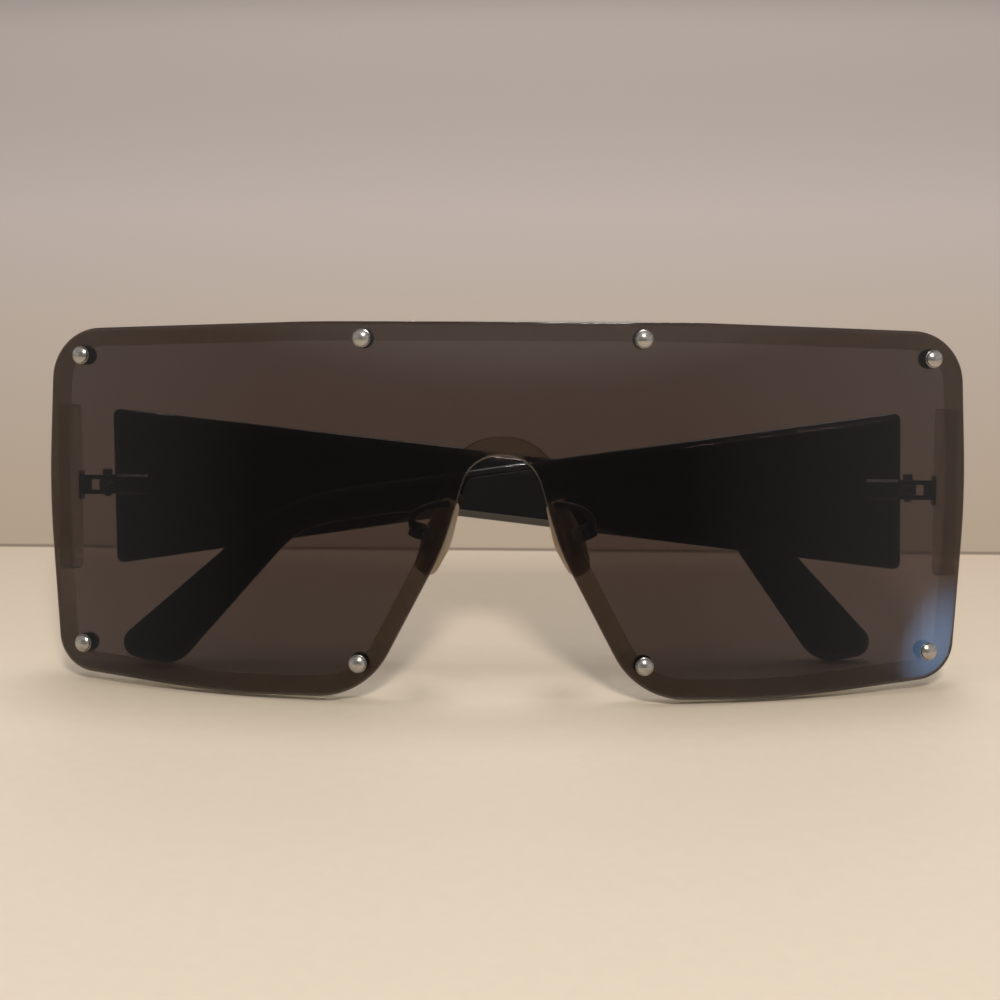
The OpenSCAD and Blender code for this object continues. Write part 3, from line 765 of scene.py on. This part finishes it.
class StageOperator(bpy.types.Operator):
    """Set up the camera, the table top and the light"""
    bl_idname = "sunglasses.stage"
    bl_label = "Camera, table and light"

    def execute(self, context):
        s = settings().studio
        scene = context.scene
        scene.view_settings.view_transform = "Standard"
        data = bpy.data.cameras.new("camera")
        data.lens = s.focal
        data.sensor_width = FILM_WIDTH
        data.clip_start = CLIP_START
        data.clip_end = CLIP_END
        camera = bpy.data.objects.new("camera", data)
        scene.collection.objects.link(camera)
        camera.matrix_world = (
            Matrix.Translation((s.camera_x, s.camera_y, s.camera_z))
            @ Matrix.Rotation(s.yaw, 4, "Z")
            @ Matrix.Rotation(math.pi / 2 - s.pitch, 4, "X")
            @ Matrix.Rotation(s.roll, 4, "Z")
        )
        scene.camera = camera
        self.make_table()
        self.make_light(scene)
        return {"FINISHED"}

    def make_table(self):
        """A flat top whose tone changes at a line behind the pair, darkened by painted shade towards
        that line, with a painted shadow along the line itself
        """
        s = settings().studio
        bm = bmesh.new()
        bmesh.ops.create_grid(bm, x_segments=1, y_segments=1, size=TABLE_SIZE)
        mesh = bpy.data.meshes.new("table_top")
        bm.to_mesh(mesh)
        bm.free()
        table = bpy.data.objects.new("table_top", mesh)
        bpy.context.scene.collection.objects.link(table)
        material, tree, bsdf = shader("table_top", Base_Color=s.table, Roughness=0.6,
                                      Specular_IOR_Level=0.25)
        place = tree.nodes.new("ShaderNodeTexCoord")
        split = tree.nodes.new("ShaderNodeSeparateXYZ")
        tree.links.new(place.outputs["Object"], split.inputs["Vector"])

        def change(start, stop, a, b):
            """From one tone to another, between two distances behind the line"""
            part = ranged(tree, split.outputs["Y"], 0, 1, s.edge + start, s.edge + stop)
            return mixed(tree, part, a, b)

        behind = change(0, FAR_REACH, s.beyond, s.far)
        # The line's own tone is a painted shadow
        line = change(*SEAM_SHADOW_ENDS, s.seam, behind)
        # Painted shade: the table top darkens towards the line
        near = change(-CORNER_SHADE_REACH, 0, s.table, s.corner_shade)
        tone = change(*NEAR_ENDS, near, line)
        flecks = ranged(tree, noise(tree, scale=400, detail=3.0), 0, FLECK_SHARE, 0.3, 0.8)
        tree.links.new(mixed(tree, flecks, tone, FLECK), bsdf.inputs["Base Color"])
        mesh.materials.append(material)

    def make_light(self, scene):
        """A warm room that is dim before the pair, with a pale strip, a window and four lamps"""
        s = settings().studio
        world = bpy.data.worlds.new("room")
        scene.world = world
        world.use_nodes = True
        tree = world.node_tree
        place = tree.nodes.new("ShaderNodeTexCoord").outputs["Generated"]
        shade = ranged(tree, distance(tree, place, DIM_SIDE), *DIM_TO_BRIGHT, *DIM_REACH)
        split = tree.nodes.new("ShaderNodeSeparateXYZ")
        tree.links.new(place, split.inputs["Vector"])
        height = split.outputs["Z"]
        strip = arithmetic(tree, "MULTIPLY", ranged(tree, height, 0.0, s.ceiling, *STRIP_BEGINS),
                           ranged(tree, height, 1.0, 0.0, *STRIP_ENDS))
        room = mixed(tree, arithmetic(tree, "ADD", shade, strip), (0.0, 0.0, 0.0), s.room)
        near = distance(tree, place, s.window_at, WINDOW_STRETCH)
        pane = ranged(tree, near, 1.0, 0.0, s.window_size * WINDOW_CORE, s.window_size)
        lit = mixed(tree, pane, room, scaled(s.window, s.window_light))
        background = tree.nodes["Background"]
        tree.links.new(lit, background.inputs["Color"])
        background.inputs["Strength"].default_value = s.room_light
        lamp("front_lamp", s.front_at, s.front_size, s.front_power, s.front_tone)
        lamp("rear_lamp", s.rear_at, s.rear_size, s.rear_power, s.rear_tone)
        lamp("glint_lamp", s.glint_at, s.glint_size, s.glint_power, s.rear_tone)
        lamp("far_lamp", s.far_at, s.far_size, s.far_power, s.far_tone, (*s.far_at[:2], 0.0))


def arithmetic(tree, operation, a, b):
    """Two factors added or multiplied"""
    node = tree.nodes.new("ShaderNodeMath")
    node.operation = operation
    tree.links.new(a, node.inputs[0])
    tree.links.new(b, node.inputs[1])
    return node.outputs["Value"]


def distance(tree, place, direction, stretch=(1.0, 1.0, 1.0)):
    """How far a direction lies from another one, as the stretched distance of unit vectors"""
    wide = tree.nodes.new("ShaderNodeVectorMath")
    wide.operation = "MULTIPLY"
    wide.inputs[1].default_value = stretch
    tree.links.new(place, wide.inputs[0])
    node = tree.nodes.new("ShaderNodeVectorMath")
    node.operation = "DISTANCE"
    node.inputs[1].default_value = [a * b for a, b in zip(Vector(direction).normalized(), stretch)]
    tree.links.new(wide.outputs["Vector"], node.inputs[0])
    return node.outputs["Value"]


def lamp(name, place, size, power, tone, aim=(0.0, 0.0, 0.0)):
    """A square soft lamp at a place, turned to what it lights"""
    data = bpy.data.lights.new(name, "AREA")
    data.size = size
    data.energy = power
    data.color = tone
    light = bpy.data.objects.new(name, data)
    bpy.context.scene.collection.objects.link(light)
    light.location = place
    light.rotation_mode = "QUATERNION"
    light.rotation_quaternion = (Vector(aim) - Vector(place)).to_track_quat("-Z", "Y")


class LensOperator(bpy.types.Operator):
    """Build the curved smoke lens with its polished edge"""
    bl_idname = "sunglasses.lens"
    bl_label = "Lens"

    def execute(self, context):
        s = settings().lens
        e = s.polish
        layers = profile([(2 * e, 0, 0), (0, 0, e), (0, s.thickness, e), (2 * e, s.thickness, 0)])
        bm = plate(lens_outline(), layers)
        slit(bm, s.width / 2, LONGEST)
        bend_round(bm)
        finished("lens", bm, IN_PLACE, "front", "smoke_lens", ["shield_lens"])
        return {"FINISHED"}


class RimOperator(bpy.types.Operator):
    """Build the translucent rim behind the lens, with a lug at each rivet"""
    bl_idname = "sunglasses.rim"
    bl_label = "Rim"

    def execute(self, context):
        s = settings().lens
        front = s.thickness + s.rim_gap
        back = front + s.rim_thickness
        r = s.rim_round
        outline = lens_outline()
        middle = (s.rim_width / 2, front, 0)
        section = profile([middle, (0, front, r), (0, back, r), (s.rim_width, back, r),
                           (s.rim_width, front, r), middle])[:-1]
        bm = bmesh.new()
        rings = [[bm.verts.new((p.x, y, p.y)) for p in inset(outline, d)] for d, y in section]
        ring_walls(bm, rings + rings[:1])
        bend_round(bm)
        finished("rim", bm, IN_PLACE, "front", "smoke_rim", ["rear_rim"])
        lugs = bmesh.new()
        cut = r * ARC_CUT
        disc = [(0, front), (s.lug - r, front), (s.lug - cut, front + cut), (s.lug, front + r),
                (s.lug, back - r), (s.lug - cut, back - cut), (s.lug - r, back), (0, back)]
        for place in rivet_places():
            turned_piece(lugs, on_lens(place), disc, LUG_SIDES)
        finished("rim_lugs", lugs, IN_PLACE, "front", "smoke_rim")
        return {"FINISHED"}


class RivetOperator(bpy.types.Operator):
    """Build the rivets through lens and rim, with the washers behind them"""
    bl_idname = "sunglasses.rivets"
    bl_label = "Rivets and washers"

    def execute(self, context):
        s = settings().lens
        r = settings().rivets
        back = s.thickness + s.rim_gap + s.rim_thickness
        tail = back + r.washer_thickness + r.clearance
        brim = r.head_height * BRIM
        ball = (r.head ** 2 + (r.head_height - brim) ** 2) / (2 * (r.head_height - brim))
        dome = [math.asin(r.head / ball) * k / DOME_STEPS for k in range(DOME_STEPS + 1)]
        head = [(ball * math.sin(a) * DOME, -r.clearance - r.head_height + ball * (1 - math.cos(a)))
                for a in dome]
        foot = r.tail_height
        outline = head + [
            # the brim, down to the lens
            (r.head, -r.clearance - brim * 0.7), (r.head, -r.clearance - brim * 0.15),
            (r.head * 0.97, -r.clearance),
            # the shank
            (r.shank, -r.clearance), (r.shank, tail),
            # the closed end, with its edge rounded and its middle hollow
            (r.tail * 0.96, tail), (r.tail, tail + foot * 0.12), (r.tail, tail + foot * 0.6),
            (r.tail * 0.93, tail + foot * 0.88), (r.tail * 0.78, tail + foot),
            (r.tail * 0.42, tail + foot * 0.9), (r.tail * 0.3, tail + foot * 0.7),
            (0, tail + foot * 0.62),
        ]
        half = r.seat_wall / 2
        seat = [(r.seat - half + half * math.cos(a), r.seat_rise * math.sin(a))
                for a in (2 * math.pi * k / SEAT_POINTS for k in range(SEAT_POINTS))]
        bm = bmesh.new()
        for place in rivet_places():
            turned_piece(bm, on_lens(place), outline, r.sides)
            turned_piece(bm, on_lens(place), seat, r.sides)
        finished("rivets", bm, IN_PLACE, "front", "steel", ["lens_rivets"])
        soften("rivet_washers", SOFT["rivet_washers"], "steel")
        return {"FINISHED"}


class EndPieceOperator(bpy.types.Operator):
    """Finish the end pieces at the sides of the rim"""
    bl_idname = "sunglasses.end_pieces"
    bl_label = "End pieces"

    def execute(self, context):
        for side in SIDES:
            soften(side + "_end_piece", SOFT["end_piece"], "smoke_rim")
        return {"FINISHED"}


class HingeOperator(bpy.types.Operator):
    """Finish the hinges: forks, screws, knuckles, spring boxes and what is in them"""
    bl_idname = "sunglasses.hinges"
    bl_label = "Hinges"

    def execute(self, context):
        for side in SIDES:
            for part, slot in HINGE_PARTS.items():
                soften(side + "_" + part, SOFT[part], slot)
        return {"FINISHED"}


class ArmOperator(bpy.types.Operator):
    """Build the two folded arms with their bevelled edges and bent tips"""
    bl_idname = "sunglasses.arms"
    bl_label = "Arms"

    def execute(self, context):
        s = settings().arms
        r = s.soften
        layers = profile([
            (s.bevel_width + 2 * r, 0, 0), (s.bevel_width, 0, 2 * r), (0, s.bevel_depth, r),
            (0, s.thickness - s.bevel_depth, r), (s.bevel_width, s.thickness, 2 * r),
            (s.bevel_width + 2 * r, s.thickness, 0),
        ])
        for side in SIDES:
            left = side == "left"
            outline = arm_outline(s.left_tip_angle if left else s.right_tip_angle)
            cant = Matrix.Rotation(s.cant if left else -s.cant, 4, "Y")
            matrix = at_arm(left) @ Matrix.Translation((0, s.offset, 0)) @ cant
            finished(side + "_arm_plate", plate(outline, layers), matrix, side + "_temple", "black_arm",
                     [side + "_arm"])
        return {"FINISHED"}


class PadOperator(bpy.types.Operator):
    """Build the silicone nose pads and finish the plates inside them"""
    bl_idname = "sunglasses.nose_pads"
    bl_label = "Nose pads"

    def execute(self, context):
        s = settings().pads
        w, h, t = s.width, s.length, s.thickness
        outline = rounded([
            (-w * 0.26, h / 2, w * 0.22), (w * 0.26, h / 2, w * 0.22),  # narrow upper end
            (w * 0.54, -h * 0.04, h * 0.5),                             # full side
            (w * 0.32, -h / 2, w * 0.3), (-w * 0.32, -h / 2, w * 0.3),  # wider lower end
            (-w * 0.54, -h * 0.04, h * 0.5),                            # full side
        ])
        edge = t * PAD_EDGE
        turns = [math.radians(a) for a in range(0, 91, 15)]
        front = [(edge * (1 - math.sin(a)), -t / 2 + edge * (1 - math.cos(a))) for a in turns]
        rear = [(d, -y) for d, y in reversed(front)]
        for side in SIDES:
            bm = plate(outline, front + rear)
            middle = min(bm.faces, key=lambda f: f.calc_center_median().y)
            bmesh.ops.inset_individual(bm, faces=[middle], thickness=w * DISH_MARGIN,
                                       depth=t * DISH_DEPTH)
            turn = Matrix.Rotation(-math.pi / 2, 4, "Z")
            finished(side + "_silicone_pad", bm, at_pad(side == "left") @ turn, side + "_pad",
                     "pad_silicone", [side + "_nose_pad"])
            soften(side + "_pad_plate", SOFT["pad_plate"], "pad_core")
        return {"FINISHED"}


class PadArmOperator(bpy.types.Operator):
    """Finish the bent wires that carry the pads, with their cups and small screws"""
    bl_idname = "sunglasses.pad_arms"
    bl_label = "Pad arms"

    def execute(self, context):
        for side in SIDES:
            soften(side + "_pad_arm", SOFT["pad_arm"], "wire_metal")
            soften(side + "_pad_screw", SOFT["pad_screw"], "wire_metal")
        return {"FINISHED"}


class SunglassesPanel(bpy.types.Panel):
    """Lists the pieces and their settings"""
    bl_idname = "VIEW3D_PT_sunglasses"
    bl_label = "Sunglasses"
    bl_space_type = "VIEW_3D"
    bl_region_type = "UI"
    bl_category = "Sunglasses"

    def draw(self, context):
        column = self.layout.column(align=True)
        for operator in OPERATORS:
            column.operator(operator.bl_idname)
        for name in GROUPS:
            group = getattr(context.scene.sunglasses, name)
            box = self.layout.box()
            box.label(text=name.capitalize())
            for prop in group.bl_rna.properties:
                if prop.identifier not in ("rna_type", "name"):
                    box.prop(group, prop.identifier)


OPERATORS = (StageOperator, LensOperator, RimOperator, RivetOperator, EndPieceOperator, HingeOperator,
             ArmOperator, PadOperator, PadArmOperator)
CLASSES = (*GROUPS.values(), SunglassesSettings, *OPERATORS, SunglassesPanel)


def register():
    for cls in CLASSES:
        bpy.utils.register_class(cls)
    bpy.types.Scene.sunglasses = PointerProperty(type=SunglassesSettings)


def unregister():
    del bpy.types.Scene.sunglasses
    for cls in reversed(CLASSES):
        bpy.utils.unregister_class(cls)


def main():
    register()
    bpy.ops.sunglasses.stage()
    bpy.ops.sunglasses.lens()
    bpy.ops.sunglasses.rim()
    bpy.ops.sunglasses.rivets()
    bpy.ops.sunglasses.end_pieces()
    bpy.ops.sunglasses.hinges()
    bpy.ops.sunglasses.arms()
    bpy.ops.sunglasses.nose_pads()
    bpy.ops.sunglasses.pad_arms()
    bpy.context.view_layer.update()


if __name__ == "__main__":
    main()
